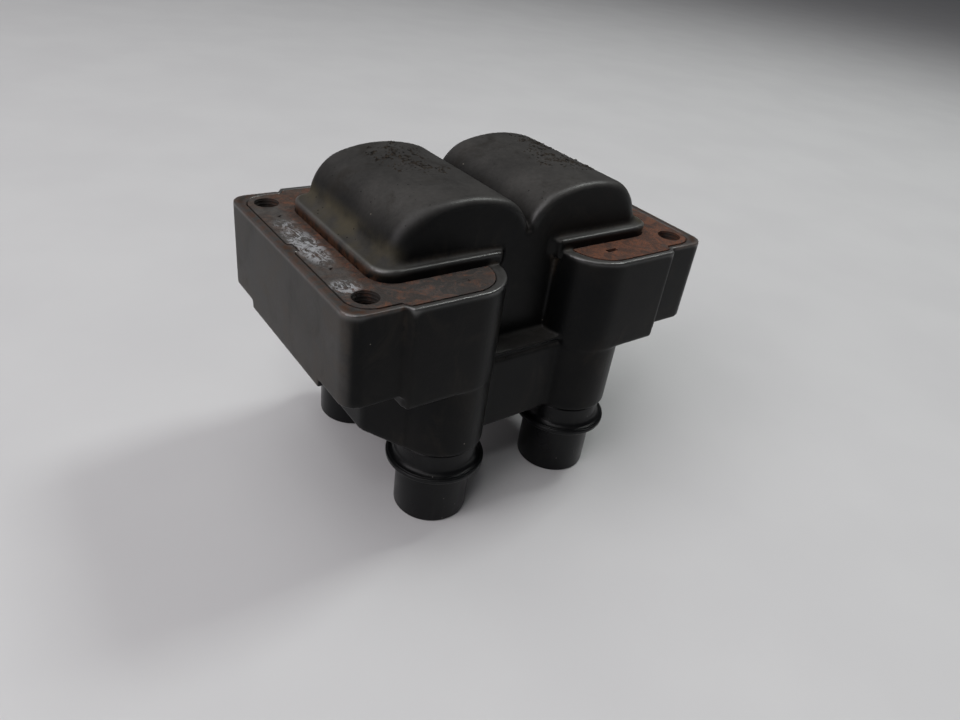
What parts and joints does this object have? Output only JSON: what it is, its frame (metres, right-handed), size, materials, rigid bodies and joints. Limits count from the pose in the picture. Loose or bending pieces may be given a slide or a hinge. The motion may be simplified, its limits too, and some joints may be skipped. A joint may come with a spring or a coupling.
{
  "type": "ignition coil",
  "caption": "Ignition coil pack: moulded case with rounded domes, flush laminated steel cores with corner screw holes, flanged high-tension towers below and a side plug.",
  "frame": {"origin": "on the floor plane through the four tower mouths, under the middle of the coil", "axes": "+X along the length, +Y towards the long side with the plug, +Z from the tower mouths up to the domes"},
  "size_m": [0.1086, 0.073, 0.0863],
  "materials": {
    "case_plastic": "matt, dusty",
    "resin": "dull cast resin",
    "yoke_steel": "rusted laminations",
    "bar_steel": "bare laminations",
    "bobbin_plastic": "natural moulding",
    "thick_wire": "enamelled copper",
    "fine_wire": "enamelled copper",
    "tower_plastic": "semi-gloss",
    "shroud_plastic": "satin",
    "contact_metal": "plain brass"
  },
  "bodies": {
    "root": {"case": "case_plastic", "potting": "resin", "core_c_left": "yoke_steel", "core_c_right": "yoke_steel", "core_bar_left": "bar_steel", "core_bar_right": "bar_steel", "primary_bobbin_left": "bobbin_plastic", "primary_bobbin_right": "bobbin_plastic", "primary_winding_left": "thick_wire", "primary_winding_right": "thick_wire", "secondary_bobbin_left": "bobbin_plastic", "secondary_bobbin_right": "bobbin_plastic", "secondary_winding_left": "fine_wire", "secondary_winding_right": "fine_wire", "ht_tower_front_left": "tower_plastic", "ht_tower_front_right": "tower_plastic", "ht_tower_back_left": "tower_plastic", "ht_tower_back_right": "tower_plastic", "ht_terminal_front_left": "contact_metal", "ht_terminal_front_right": "contact_metal", "ht_terminal_back_left": "contact_metal", "ht_terminal_back_right": "contact_metal", "ht_lead_front_left": "contact_metal", "ht_lead_front_right": "contact_metal", "ht_lead_back_left": "contact_metal", "ht_lead_back_right": "contact_metal", "connector_shroud": "shroud_plastic", "lt_pin_common": "contact_metal", "lt_pin_left": "contact_metal", "lt_pin_right": "contact_metal"}
  },
  "joints": []
}
